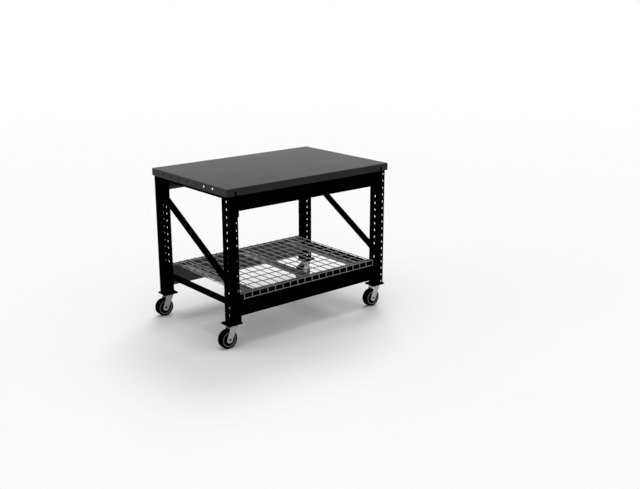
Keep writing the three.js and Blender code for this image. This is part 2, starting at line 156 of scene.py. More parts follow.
class Graph:
    """The node tree of a material or a world, filled node by node."""

    def __init__(self, owner: bpy.types.Material | bpy.types.World) -> None:
        """Gives the owner an empty tree."""
        owner.use_nodes = True
        self.tree = owner.node_tree
        self.tree.nodes.clear()

    def node(self, kind: str, settings: dict[str, Any] | None = None,
             sockets: dict[str | int, Any] | None = None, output: str | int = 0) -> Value:
        """Adds a node.

        Args:
            kind: The node's type.
            settings: Its own settings, which are set first.
            sockets: Values or links of its inputs, by name or number.
            output: The output to return, by name or number.

        Returns:
            The chosen output, or the first input of a node that has no output.
        """
        made = self.tree.nodes.new(kind)
        for name, setting in (settings or {}).items():
            setattr(made, name, setting)
        for name, value in (sockets or {}).items():
            if isinstance(value, Value):
                self.tree.links.new(value.socket, made.inputs[name])
            else:
                made.inputs[name].default_value = value
        return Value(self, made.outputs[output] if len(made.outputs) else made.inputs[0])

    def place(self) -> Value:
        """Object coordinates."""
        return self.node("ShaderNodeTexCoord", output="Object")

    def height(self, vector: Value) -> Value:
        """Upright coordinate of a vector."""
        return self.node("ShaderNodeSeparateXYZ", sockets={0: vector}, output="Z")

    def ramp(self, value: Value, start: float, stop: float, top: float = 1.0) -> Value:
        """Smooth rise from 0 to the top between two values."""
        sockets = {"Value": value, "From Min": start, "From Max": stop, "To Max": top}
        return self.node("ShaderNodeMapRange", {"interpolation_type": "SMOOTHSTEP"}, sockets)

    def noise(self, vector: Value, scale: float, detail: float = SOFT_DETAIL) -> Value:
        """Noise between 0 and 1 with the given number of features to the metre."""
        sockets = {"Vector": vector, "Scale": scale, "Detail": detail, "Roughness": NOISE_ROUGHNESS}
        return self.node("ShaderNodeTexNoise", {"noise_dimensions": "3D"}, sockets)

    def seen(self) -> Value:
        """1 for the rays that show the stage, 0 for those that light the table."""
        rays = [self.node("ShaderNodeLightPath", output=f"Is {kind} Ray") for kind in SHOWING_RAYS]
        return (rays[0] + rays[1] + rays[2]).at_most(1.0)

    def blend(self, factor: Value, first: Any, second: Any) -> Value:
        """Mixes two colours by a factor."""
        sockets = {MIX_FACTOR: factor, MIX_FIRST: first, MIX_SECOND: second}
        return self.node("ShaderNodeMix", {"data_type": "RGBA"}, sockets, MIX_RESULT)


def rgba(level: float, tint: tuple[float, float, float] = (1.0, 1.0, 1.0)) -> Colour:
    """A grey level in linear light with a tint, as a colour with alpha."""
    return (level * tint[0], level * tint[1], level * tint[2], 1.0)


@dataclass(frozen=True)
class Finish:
    """A surface finish: a ground colour that drifts over the piece, and a grain that breaks up its sheen.

    The drift is noise of a few features to the metre on Object coordinates, and the grain is noise of several
    hundred; the grain also drives a shallow bump.
    """

    slot: str
    level: float
    roughness: float
    metallic: float = 0.0
    specular: float = 0.5
    tint: tuple[float, float, float] = (1.0, 1.0, 1.0)
    drift: float = 0.12
    drift_scale: float = 5.0
    grain_scale: float = 700.0
    grain_bump: float = 0.06
    grain_depth: float = 0.0004
    sheen_spread: float = 0.12
    grain_spread: float = 0.06

    def drifting(self, graph: Graph, place: Value) -> Value:
        """Slow drift on Object coordinates, between 0 and 1."""
        return graph.noise(place, self.drift_scale)

    def ground(self, graph: Graph, place: Value, drift: Value) -> Value:
        """Colour of the finish at a place, which runs between two levels with the drift."""
        low, high = (rgba(self.level * (1.0 + way * self.drift), self.tint) for way in (-1.0, 1.0))
        return graph.blend(drift, low, high)

    def material(self) -> bpy.types.Material:
        """Makes the finish's material once.

        Returns:
            The material, which later pieces share.
        """
        name = f"{self.slot}_finish"
        if name in bpy.data.materials:
            return bpy.data.materials[name]
        made = bpy.data.materials.new(name)
        graph = Graph(made)
        place = graph.place()
        drift = self.drifting(graph, place)
        grain = graph.noise(place, self.grain_scale, FINE_DETAIL)
        sheen = (self.roughness + (drift - NOISE_MIDDLE) * self.sheen_spread
                 + (grain - NOISE_MIDDLE) * self.grain_spread)
        bump = graph.node("ShaderNodeBump", sockets={
            "Strength": self.grain_bump,
            "Distance": self.grain_depth,
            "Height": grain,
        })
        shader = graph.node("ShaderNodeBsdfPrincipled", sockets={
            "Base Color": self.ground(graph, place, drift),
            "Roughness": sheen,
            "Metallic": self.metallic,
            "Specular IOR Level": self.specular,
            "Normal": bump,
        })
        graph.node("ShaderNodeOutputMaterial", sockets={"Surface": shader})
        return made


@dataclass(frozen=True)
class SpangledFinish(Finish):
    """Zinc-coated steel: the drift is replaced by crystal cells, each with its own brightness."""

    cell_scale: float = 90.0
    cell_share: float = 0.6

    def drifting(self, graph: Graph, place: Value) -> Value:
        """Draws crystal cells softened by noise.

        Args:
            graph: The material's graph.
            place: Object coordinates.

        Returns:
            The brightness of the cells, between 0 and 1.
        """
        sockets = {"Vector": place, "Scale": self.cell_scale}
        cells = graph.node("ShaderNodeTexVoronoi", {"feature": "F1"}, sockets, "Color")
        tone = graph.node("ShaderNodeSeparateColor", sockets={"Color": cells}, output="Red")
        return self.cell_share * tone + (1.0 - self.cell_share) * super().drifting(graph, place)


@dataclass(frozen=True)
class PaintedShadeFinish(SpangledFinish):
    """Zinc-coated steel with painted shade: the coat is blended towards black between two heights, standing in
    for the shade under the worktop.
    """

    # Painted shade: heights where the darkening starts and ends, how far it goes, and the dark level it goes
    # to.
    shade_start: float = 0.925
    shade_end: float = 0.965
    shade_strength: float = 0.97
    shade_level: float = 0.001

    def ground(self, graph: Graph, place: Value, drift: Value) -> Value:
        """Colour of the coat at a place, blended towards black with height as painted shade."""
        # Painted shade: darker towards the top, where the worktop shades the liner.
        painted_shade = graph.ramp(graph.height(place), self.shade_start, self.shade_end, self.shade_strength)
        return graph.blend(painted_shade, super().ground(graph, place, drift), rgba(self.shade_level))


GREY_PAINT = Finish("grey_paint", level=0.056, roughness=0.4, specular=0.052, drift=0.04)
BLACK_PAINT = Finish("black_paint", level=0.0012, roughness=0.5, specular=0.0, drift=0.3)
# The liner's coat, with painted shade on its upper part.
LINER_PAINT_AND_SHADE = PaintedShadeFinish("liner_paint", level=0.105, roughness=0.5, metallic=0.3, specular=0.2,
                            cell_scale=60.0)
DECK_WIRE = SpangledFinish("deck_wire", level=0.22, roughness=0.42, metallic=0.9, drift=0.15)
DECK_CHANNEL = SpangledFinish("deck_channel", level=0.135, roughness=0.45, metallic=0.9, drift=0.2,
                              cell_scale=60.0)
ZINC = SpangledFinish("zinc", level=0.4, roughness=0.42, metallic=1.0, tint=(1.0, 1.0, 0.97),
                      cell_scale=160.0)
DARK_STEEL = Finish("dark_steel", level=0.003, roughness=0.5, specular=0.002, drift=0.2)
WHEEL_CORE = Finish("wheel_core", level=0.15, roughness=0.4, metallic=0.9, drift=0.15)
TYRE = Finish("tyre", level=0.001, roughness=0.75, specular=0.0, drift=0.35, drift_scale=40.0,
              grain_bump=0.12)


def corners(node: str) -> tuple[Array, Array]:
    """Lower and upper corner of a CAD node's box."""
    low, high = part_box(node)
    return np.array(low), np.array(high)


def centred(node: str) -> tuple[Array, Array]:
    """Middle and half size of a CAD node's box."""
    low, high = corners(node)
    return (low + high) / 2, (high - low) / 2


def unit(angles: Array) -> Array:
    """Unit vectors at the given angles, two coordinates each."""
    return np.stack([np.cos(angles), np.sin(angles)], axis=-1)


def placed(name: str, data: bpy.types.ID) -> bpy.types.Object:
    """Puts a new object into the scene.

    Args:
        name: Name of the object.
        data: Its mesh, lamp or camera.

    Returns:
        The object.
    """
    made = bpy.data.objects.new(name, data)
    bpy.context.scene.collection.objects.link(made)
    return made


@contextmanager
def edited(mesh: bpy.types.Mesh) -> Iterator[bmesh.types.BMesh]:
    """Opens a mesh for edits and writes it back with smooth faces between sharp edges.

    Args:
        mesh: The mesh, which is changed in its place.

    Yields:
        The open mesh.
    """
    work = bmesh.new()
    work.from_mesh(mesh)
    yield work
    work.to_mesh(mesh)
    work.free()
    mesh.polygons.foreach_set("use_smooth", np.ones(len(mesh.polygons), bool))
    mesh.set_sharp_from_angle(angle=SHARP_ANGLE)


class Skin:
    """Gathers the polygons of one piece and makes them a closed mesh."""

    def __init__(self) -> None:
        """Starts with no polygons."""
        self._groups: list[Array] = []

    def polygons(self, points: Array) -> None:
        """Adds polygons.

        Args:
            points: Array of polygons by points by coordinates; leading axes are flattened.
        """
        self._groups.append(np.asarray(points, float).reshape(-1, *points.shape[-2:]))

    def grid(self, points: Array, closed: bool = False) -> None:
        """Adds the quads of a grid of points.

        Args:
            points: Array of rows by columns by coordinates.
            closed: Whether the last column joins the first.
        """
        net = np.concatenate([points, points[:, :1]], axis=1) if closed else points
        self.polygons(np.stack([net[:-1, :-1], net[:-1, 1:], net[1:, 1:], net[1:, :-1]], axis=-2))

    def wire(self, path: Array, across: Axis, radius: float, sides: int) -> None:
        """Adds a round wire along a flat path, capped at both ends.

        A ring is the path point plus radius times (cos a) along the axis plus (sin a) along axis x tangent.

        Args:
            path: Points of the path.
            across: Axis square to the path's plane.
            radius: Radius of the wire.
            sides: Points round the wire.
        """
        tangent = np.gradient(path, axis=0)
        tangent /= np.linalg.norm(tangent, axis=1, keepdims=True)
        square = np.eye(3)[across]
        other = np.cross(square, tangent)
        spokes = unit(2 * np.pi * (np.arange(sides) + 0.5) / sides)
        rings = path[:, None] + radius * (spokes[:, :1] * square + spokes[:, 1:] * other[:, None])
        self.grid(rings, closed=True)
        self.polygons(rings[[0, -1]])

    def turned(self, profile: Array, centre: Array, axis: Axis, steps: int) -> None:
        """Adds a turned surface: each profile point of (radius, height) goes round an axis.

        Args:
            profile: Points of (radius, height).
            centre: Point on the axis at height 0.
            axis: The axis.
            steps: Points in a full turn.
        """
        spokes = unit(2 * np.pi * np.arange(steps) / steps)
        points = np.zeros((len(profile), steps, 3))
        points[..., (axis + 1) % 3] = profile[:, :1] * spokes[:, 0]
        points[..., (axis + 2) % 3] = profile[:, :1] * spokes[:, 1]
        points[..., axis] = profile[:, 1:]
        self.grid(points + centre, closed=True)

    def piece(self, name: str, finish: Finish, body: str, *nodes: str) -> None:
        """Makes the mesh, welds its seams, turns its faces outwards and puts it on its body.

        Args:
            name: Name of the new object.
            finish: Its finish.
            body: CAD body that it moves with.
            *nodes: CAD nodes that it stands for.
        """
        mesh = bpy.data.meshes.new(name)
        points = np.concatenate([group.reshape(-1, 3) for group in self._groups])
        sizes = np.concatenate([np.full(len(group), group.shape[1]) for group in self._groups])
        mesh.vertices.add(len(points))
        mesh.vertices.foreach_set("co", points.ravel())
        mesh.loops.add(len(points))
        mesh.loops.foreach_set("vertex_index", np.arange(len(points)))
        mesh.polygons.add(len(sizes))
        mesh.polygons.foreach_set("loop_start", np.concatenate([[0], np.cumsum(sizes)[:-1]]))
        mesh.update(calc_edges=True)
        with edited(mesh) as work:
            bmesh.ops.remove_doubles(work, verts=work.verts, dist=WELD_DISTANCE)
            bmesh.ops.dissolve_degenerate(work, edges=work.edges, dist=WELD_DISTANCE)
            bmesh.ops.recalc_face_normals(work, faces=work.faces)
        dress(placed(name, mesh), finish, body, *nodes)


def dress(made: bpy.types.Object, finish: Finish, body: str, *nodes: str) -> None:
    """Gives an object its finish and puts it on its body in place of CAD nodes.

    Args:
        made: The object.
        finish: Its finish.
        body: CAD body that it moves with.
        *nodes: CAD nodes that it stands for.
    """
    made.data.materials.clear()
    made.data.materials.append(finish.material())
    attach(made, body)
    if nodes:
        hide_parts(*nodes)
    LOG.info("%s: %d faces on %s", made.name, len(made.data.polygons), body)


def eased(node: str, finish: Finish, body: str, width: float) -> None:
    """Stands a copy of a CAD node in its place, with edges that a Bevel modifier softens.

    Args:
        node: The CAD node.
        finish: Finish of the copy.
        body: Body that it moves with.
        width: Width of the softened edge.
    """
    mesh = bpy.data.objects[node].data.copy()
    mesh.name = node + "_eased"
    with edited(mesh) as work:
        bmesh.ops.remove_doubles(work, verts=work.verts, dist=MERGE_DISTANCE)
        bmesh.ops.dissolve_limit(work, angle_limit=FLAT_ANGLE, verts=work.verts, edges=work.edges)
    made = placed(node + "_eased", mesh)
    bevel = made.modifiers.new("soft_edges", "BEVEL")
    bevel.width = width
    bevel.segments = BEVEL_SEGMENTS
    bevel.limit_method = "ANGLE"
    bevel.angle_limit = BEVEL_ANGLE
    bevel.use_clamp_overlap = True
    dress(made, finish, body, node)


@dataclass(frozen=True)
class Fold:
    """Section of a folded sheet: straight legs joined by round bends, followed along the middle of the sheet.

    Legs are measured between the sharp corners of the middle line. Every bend is a right angle, to the left
    for a turn of 1 and to the right for -1, and takes its radius from both its legs. A point at length u and
    depth w lies on its own leg or bend, whose chord from the stretch's start is s * sin(h) / h long at an
    angle of h past the start's heading, h being half the turn so far; it is then moved by w along the
    left-hand normal.
    """

    legs: tuple[float, ...]
    turns: tuple[float, ...]
    radius: float
    start: tuple[float, float]
    heading: float
    steps: int = 5

    def _stretches(self) -> tuple[Array, Array, Array, Array]:
        """Works out where every leg and bend starts.

        Returns:
            Start lengths, start points, start headings and curvatures of all legs and bends.
        """
        flat = np.array(self.legs)
        flat[:-1] -= self.radius
        flat[1:] -= self.radius
        lengths = np.full(2 * len(flat) - 1, RIGHT_ANGLE * self.radius)
        lengths[0::2] = flat
        curves = np.zeros_like(lengths)
        curves[1::2] = np.array(self.turns) / self.radius
        half = lengths * curves / 2
        headings = self.heading + np.concatenate([[0.0], np.cumsum(2 * half)])
        chords = lengths * np.sinc(half / np.pi)
        steps = chords[:, None] * unit(headings[:-1] + half)
        points = np.asarray(self.start) + np.concatenate([np.zeros((1, 2)), np.cumsum(steps, axis=0)])
        return np.concatenate([[0.0], np.cumsum(lengths)]), points, headings, curves

    def columns(self, *extra: float) -> Array:
        """Divides the sheet at both ends of every leg, at steps in every bend and at extra places.

        Args:
            *extra: Lengths of the extra places.

        Returns:
            The lengths of all divisions in order.
        """
        starts, _, _, curves = self._stretches()
        parts = [np.linspace(start, stop, self.steps + 1 if curve else 2)
                 for start, stop, curve in zip(starts[:-1], starts[1:], curves)]
        return np.unique(np.round(np.concatenate([*parts, np.asarray(extra, float)]), LENGTH_DIGITS))

    def leg_start(self, number: int) -> float:
        """Length at which a leg starts."""
        return float(self._stretches()[0][2 * number])

    def place(self, length: Array, depth: Array | float = 0.0) -> Array:
        """Folds lengths and depths to their places.

        Args:
            length: Lengths along the middle of the sheet.
            depth: Depths along the left-hand normal.

        Returns:
            Points of the section, two coordinates each.
        """
        starts, points, headings, curves = self._stretches()
        index = np.clip(np.searchsorted(starts, length, side="right") - 1, 0, len(curves) - 1)
        run = length - starts[index]
        half = run * curves[index] / 2
        angle = headings[index] + half
        chord = run * np.sinc(half / np.pi)
        final = angle + half
        normal = np.stack([-np.sin(final), np.cos(final)], axis=-1)
        return points[index] + chord[..., None] * unit(angle) + np.asarray(depth)[..., None] * normal


def rectangles(low: Array, high: Array) -> Array:
    """Four corners in order for each pair of lower and upper corners."""
    upper = np.array([[0, 0], [1, 0], [1, 1], [0, 1]], bool)
    return np.where(upper, high[:, None], low[:, None])


def punched_cells(low: Array, high: Array, centre: Array, half: tuple[float, float]) -> tuple[Array, Array]:
    """Divides rectangles with an oval hole each: every side makes a polygon with its quarter arc.

    A hole has HOLE_STEPS points, which is a multiple of four.

    Args:
        low: Lower corners of the rectangles.
        high: Upper corners.
        centre: Centres of the holes.
        half: Half the width and half the height of the holes.

    Returns:
        The polygons, and the rings of points round the holes, all with two coordinates.
    """
    angles = FIRST_CORNER + 2 * np.pi * np.arange(HOLE_STEPS) / HOLE_STEPS
    rings = centre[:, None] + np.array(half) * unit(angles)
    quarter = HOLE_STEPS // 4
    arcs = rings[:, (np.arange(4)[:, None] * quarter + np.arange(quarter, -1, -1)) % HOLE_STEPS]
    turns = rectangles(low, high)
    sides = np.stack([turns, np.roll(turns, -1, axis=1)], axis=2)
    return np.concatenate([sides, arcs], axis=2).reshape(-1, quarter + 3, 2), rings


def ring_walls(inner: Array, outer: Array) -> Array:
    """Quads between pairs of closed rings, each pair having the same number of points."""
    return np.stack([inner, np.roll(inner, -1, axis=1), np.roll(outer, -1, axis=1), outer], axis=2)


def folded_sheet(fold: Fold, sheet: float, rows: Array, run: Axis, holes: Array | None = None,
                 half: tuple[float, float] = (0.0, 0.0), splits: tuple[float, ...] = ()) -> Skin:
    """Carries a folded section along a straight run, with oval holes punched in its flat legs.

    The sheet is laid flat as cells of length u by run v, holes are punched in the flat cells, and each point
    is then folded to its place at depths of plus and minus half the sheet.

    Args:
        fold: The section.
        sheet: Thickness of the sheet.
        rows: Distances along the run at which the sheet is divided.
        run: Axis of the run; the section lies in the other two.
        holes: Hole centres as pairs of length and run, one in a cell at most.
        half: Half the width and half the height of the holes.
        splits: Extra lengths at which the section is divided.

    Returns:
        The skin, closed at both ends and both edges.
    """
    columns = fold.columns(*splits)
    net = np.stack(np.meshgrid(columns, rows, indexing="ij"), axis=-1)
    low, high = net[:-1, :-1], net[1:, 1:]
    plain = np.ones(low.shape[:2], bool)
    skin = Skin()

    def folded(flat: Array) -> list[Array]:
        """Folds flat points of (length, run) at both depths."""
        sections = [fold.place(flat[..., 0], depth) for depth in (sheet / 2, -sheet / 2)]
        return [np.insert(section, run, flat[..., 1], axis=-1) for section in sections]

    if holes is not None:
        across = np.searchsorted(columns, holes[:, 0]) - 1
        up = np.searchsorted(rows, holes[:, 1]) - 1
        plain[across, up] = False
        polygons, rings = punched_cells(low[across, up], high[across, up], holes, half)
        for side in folded(polygons):
            skin.polygons(side)
        skin.polygons(ring_walls(*folded(rings)))
    for side in folded(rectangles(low[plain], high[plain])):
        skin.polygons(side)
    for edge in (net[:, 0], net[:, -1], net[0], net[-1]):
        skin.grid(np.stack(folded(edge)))
    return skin


@dataclass
class Worktop:
    """Folded pan: flat top, rounded edge, apron with round holes in its ends and notches in its sides."""

    node: str = "worktop"
    sheet: float = 0.002
    edge_radius: float = 0.004
    corner_steps: int = 6
    hole_count: int = 7
    hole_pitch: float = 0.1016
    hole_radius: float = 0.008
    hole_rise: float = 0.0284
    hole_shift: float = 0.005
    notch_width: float = 0.014
    notch_height: float = 0.031
    notch_place: float = 0.634
    notch_steps: int = 10
    middle: Array = field(init=False)
    half: Array = field(init=False)
    base: float = field(init=False)
    top: float = field(init=False)
    spring: float = field(init=False)

    def build(self) -> None:
        """Builds the pan in the place of its CAD node."""
        low, high = corners(self.node)
        self.middle, self.half = centred(self.node)
        self.base, self.top = low[2], high[2]
        self.spring = self.base + self.notch_height - self.notch_width / 2
        skin = Skin()
        self._rim(skin)
        for end in (-1.0, 1.0):
            self._end_apron(skin, end)
            self._side_apron(skin, end)
        skin.piece("worktop_pan", GREY_PAINT, FRAME_BODY, self.node)

    def _ring(self, inset: float, height: float) -> Array:
        """Draws the pan's outline once round: corner centres one edge radius inside, each with a round turn.

        Args:
            inset: Depth of the outline under the outside.
            height: Its height.

        Returns:
            The outline's points.
        """
        turn = np.linspace(0, RIGHT_ANGLE, self.corner_steps + 1)
        normals = unit((np.arange(4)[:, None] * RIGHT_ANGLE + turn).ravel())
        signs = np.repeat([[1, 1], [-1, 1], [-1, -1], [1, -1]], self.corner_steps + 1, axis=0)
        centres = self.middle[:2] + signs * (self.half[:2] - self.edge_radius)
        return np.insert(centres + (self.edge_radius - inset) * normals, 2, height, axis=1)

    def _rim(self, skin: Skin) -> None:
        """Adds the top, the rounded edge, the underside and the upright corners.

        Args:
            skin: Skin of the pan.
        """
        radius = self.edge_radius
        rows = [self._ring(radius - radius * math.sin(angle), self.top - radius + radius * math.cos(angle))
                for angle in np.linspace(0, RIGHT_ANGLE, self.corner_steps + 1)]
        skin.grid(np.stack(rows), closed=True)
        skin.polygons(rows[0][None, ::self.corner_steps + 1])
        skin.polygons(self._ring(self.sheet, self.top - self.sheet)[None])
        rings = [[self._ring(inset, height) for height in (self.base, self.spring, self._height(inset))]
                 for inset in (0.0, self.sheet)]
        bends = np.array(rings).reshape(2, 3, 4, self.corner_steps + 1, 3)
        for corner in range(4):
            for part in (bends[0], bends[1], bends[:, 0]):
                skin.grid(part[:, corner])

    def _height(self, inset: float) -> float:
        """Height at which a skin of the apron ends: the bend outside, the underside inside."""
        return self.top - (self.edge_radius if inset == 0.0 else self.sheet)

    def _end_apron(self, skin: Skin, end: float) -> None:
        """Adds one end's apron: punched cells between two plain stretches, with an edge along the bottom.

        Args:
            skin: Skin of the pan.
            end: -1 for the left end, 1 for the right one.
        """
        reach = self.half[1] - self.edge_radius
        first = self.middle[1] + self.hole_shift
        breaks = first + (np.arange(self.hole_count + 1) - self.hole_count / 2) * self.hole_pitch
        centres = np.insert((breaks[1:, None] + breaks[:-1, None]) / 2, 1, self.base + self.hole_rise, axis=1)
        ends = self.middle[1] + reach * BOTH_WAYS
        low = np.insert(breaks[:-1, None], 1, self.base, axis=1)
        rings = []
        for inset in (0.0, self.sheet):
            x = self.middle[0] + end * (self.half[0] - inset)
            height = self._height(inset)
            high = np.insert(breaks[1:, None], 1, height, axis=1)
            polygons, loops = punched_cells(low, high, centres, (self.hole_radius, self.hole_radius))
            skin.polygons(np.insert(polygons, 0, x, axis=-1))
            rings.append(np.insert(loops, 0, x, axis=-1))
            for outer, inner in ((ends[0], breaks[0]), (ends[1], breaks[-1])):
                skin.polygons(np.array([[[x, inner, self.base], [x, inner, height], [x, outer, height],
                                         [x, outer, self.spring], [x, outer, self.base]]]))
        skin.polygons(ring_walls(*rings))
        stations = np.concatenate([ends[:1], breaks, ends[1:]])
        self._bottom_edge(skin, Axis.Y, stations, end)

    def _bottom_edge(self, skin: Skin, along: Axis, stations: Array, end: float) -> None:
        """Adds the edge of the sheet along the bottom of one apron.

        Args:
            skin: Skin of the pan.
            along: Axis along which the apron runs.
            stations: Places along it at which the edge is divided.
            end: -1 or 1 for the side of the pan.
        """
        points = np.empty((2, len(stations), 3))
        points[..., along] = stations
        across = self.middle[1 - along] + end * (self.half[1 - along] - np.array([0.0, self.sheet]))
        points[..., 1 - along] = across[:, None]
        points[..., 2] = self.base
        skin.grid(points)

    def _side_apron(self, skin: Skin, side: float) -> None:
        """Adds one long side's apron: plain stretches between two notches with round tops.

        Args:
            skin: Skin of the pan.
            side: -1 for the front, 1 for the back.
        """
        reach = self.half[0] - self.edge_radius
        middle, half = self.middle[0], self.notch_width / 2
        places = middle + self.notch_place * BOTH_WAYS
        cuts = (places[:, None] + half * BOTH_WAYS).ravel()
        edges = np.concatenate([[middle - reach], cuts, [middle + reach]]).reshape(3, 2)
        turn = unit(np.linspace(0, np.pi, self.notch_steps + 1))
        walls = []
        for inset in (0.0, self.sheet):
            y = self.middle[1] + side * (self.half[1] - inset)
            height = self._height(inset)
            for start, stop in edges:
                x, z = np.meshgrid([start, stop], [self.base, self.spring, height])
                skin.grid(np.stack([x, np.full_like(x, y), z], axis=-1))
            for place in places:
                arch = np.insert(np.array([place, self.spring]) + half * turn, 1, y, axis=1)
                left, right = place - half, place + half
                skin.polygons(np.concatenate([arch, [[left, y, height], [right, y, height]]])[None])
                walls.append(np.concatenate([[[right, y, self.base]], arch, [[left, y, self.base]]]))
        for outer, inner in zip(walls[:2], walls[2:]):
            skin.grid(np.stack([outer, inner]))
        for start, stop in edges:
            self._bottom_edge(skin, Axis.X, np.array([start, stop]), side)


@dataclass
class Posts:
    """Four upright posts: lipped channels with two columns of holes in the web and one in each flange."""

    sheet: float = 0.0025
    bend: float = 0.00375
    lip: float = 0.018
    hole_half: tuple[float, float] = (0.0055, 0.009)
    hole_pitch: float = 0.0508
    hole_rows: int = 17
    web_offset: float = 0.0195
    web_rise: float = 0.0231
    flange_offset: float = 0.021
    flange_rise: float = 0.0147

    def build(self) -> None:
        """Builds every post in the place of its CAD node."""
        for corner in Corner:
            self._post(corner)

    def _post(self, corner: Corner) -> None:
        """Folds one post; a back post is the same section turned half round.

        Args:
            corner: The post's corner.
        """
        node = f"post_{corner.value}"
        low, high = corners(node)
        width, depth = high[0] - low[0], high[1] - low[1]
        outer = self.bend + self.sheet / 2
        turn = np.pi if corner.is_back else 0.0
        facing = -1.0 if corner.is_back else 1.0
        middle = np.array([(low[0] + high[0]) / 2, high[1] if corner.is_back else low[1]])
        tip = facing * np.array([self.lip - width / 2, depth - self.sheet / 2])
        lip, flange, web = self.lip - self.sheet / 2, depth - self.sheet, width - self.sheet
        fold = Fold((lip, flange, web, flange, lip), (1,) * 4, self.bend, tuple(middle + tip), np.pi + turn)
        rows = low[2] + np.concatenate([np.arange(self.hole_rows + 1) * self.hole_pitch, [high[2] - low[2]]])
        web_middle = fold.leg_start(2) + web / 2 - self.bend
        columns = [web_middle - self.web_offset, web_middle + self.web_offset,
                   fold.leg_start(1) + depth - outer - self.flange_offset,
                   fold.leg_start(3) + self.flange_offset - outer]
        rises = [self.web_rise, self.web_rise, self.flange_rise, self.flange_rise]
        up = np.arange(self.hole_rows) * self.hole_pitch
        holes = np.concatenate([np.stack([np.full(self.hole_rows, u), low[2] + rise + up], axis=-1)
                                for u, rise in zip(columns, rises)])
        skin = folded_sheet(fold, self.sheet, rows, Axis.Z, holes, self.hole_half, (web_middle,))
        skin.piece(f"post_channel_{corner.value}", BLACK_PAINT, FRAME_BODY, node)


@dataclass
class EndFrames:
    """Braces, struts, foot plates and the bolts that hold the casters."""

    edge: float = 0.0012
    bolt_inset: float = 0.0125
    head_radius: float = 0.0075
    head_height: float = 0.0018
    head_steps: int = 20
    dome_steps: int = 6
    nut_radius: float = 0.0065
    nut_height: float = 0.003
    nut_chamfer: float = 0.0008
    nut_sides: int = 6

    def build(self) -> None:
        """Eases the bars and plates and adds the bolts."""
        for side in ("left", "right"):
            for bar in ("diagonal_brace", "bottom_strut", "top_strut"):
                eased(f"{bar}_{side}", BLACK_PAINT, FRAME_BODY, self.edge)
        for corner in Corner:
            eased(f"foot_plate_{corner.value}", BLACK_PAINT, FRAME_BODY, self.edge)
            self._bolts(corner)

    def _bolts(self, corner: Corner) -> None:
        """Adds four low round bolt heads over the foot plate and hexagon nuts under the caster plate.

        A head's height over its radius r falls from its middle as 1 - (r / R) squared.

        Args:
            corner: The plates' corner.
        """
        low, high = corners(f"foot_plate_{corner.value}")
        under = corners(f"caster_plate_{corner.value}")[0][2]
        share = np.linspace(1, 0, self.dome_steps + 1)
        dome = np.stack([self.head_radius * share, self.head_height * (1 - share ** 2)], axis=-1)
        head = np.concatenate([[[0.0, 0.0]], dome])
        rim, foot = self.nut_radius - self.nut_chamfer, self.nut_chamfer - self.nut_height
        nut = np.array([[0, 0], [self.nut_radius, 0], [self.nut_radius, foot], [rim, -self.nut_height],
                        [0, -self.nut_height]])
        skin = Skin()
        for x in (low[0] + self.bolt_inset, high[0] - self.bolt_inset):
            for y in (low[1] + self.bolt_inset, high[1] - self.bolt_inset):
                skin.turned(head, np.array([x, y, high[2]]), Axis.Z, self.head_steps)
                skin.turned(nut, np.array([x, y, under]), Axis.Z, self.nut_sides)
        skin.piece(f"caster_bolts_{corner.value}", DARK_STEEL, FRAME_BODY)


@dataclass
class Beams:
    """Four box beams: an outer channel, the liner that laps over it and the connectors at its ends."""

    sheet: float = 0.002
    bend: float = 0.004
    step: float = 0.006
    edge: float = 0.001

    def build(self) -> None:
        """Builds the beams, their liners and their connectors."""
        for level in ("upper", "lower"):
            for row, facing in (("front", -1.0), ("back", 1.0)):
                self._channel(f"{level}_{row}_beam", BLACK_PAINT, facing, self.step)
                self._channel(f"{level}_{row}_beam_liner", LINER_PAINT_AND_SHADE, -facing)
            for corner in Corner:
                eased(f"connector_{level}_{corner.value}", BLACK_PAINT, FRAME_BODY, self.edge)

    def _channel(self, node: str, finish: Finish, facing: float, reach: float | None = None) -> None:
        """Folds one channel of a beam: upper flange, web and lower flange.

        Args:
            node: CAD node that the channel stands for.
            finish: Finish of the channel.
            facing: 1 with the web towards the back, -1 with the web towards the front.
            reach: Length of the flanges over the web's outer face; the depth of the node if none is given.
        """
        low, high = corners(node)
        half = self.sheet / 2
        length = high[1] - low[1] if reach is None else reach
        web = high[1] if facing > 0 else low[1]
        start = (web - facing * length, high[2] - half)
        heading = 0.0 if facing > 0 else np.pi
        legs = (length - half, high[2] - low[2] - self.sheet, length - half)
        fold = Fold(legs, (-facing,) * 2, self.bend, start, heading)
        skin = folded_sheet(fold, self.sheet, np.array([low[0], high[0]]), Axis.X)
        skin.piece(f"{node}_channel", finish, FRAME_BODY, node)


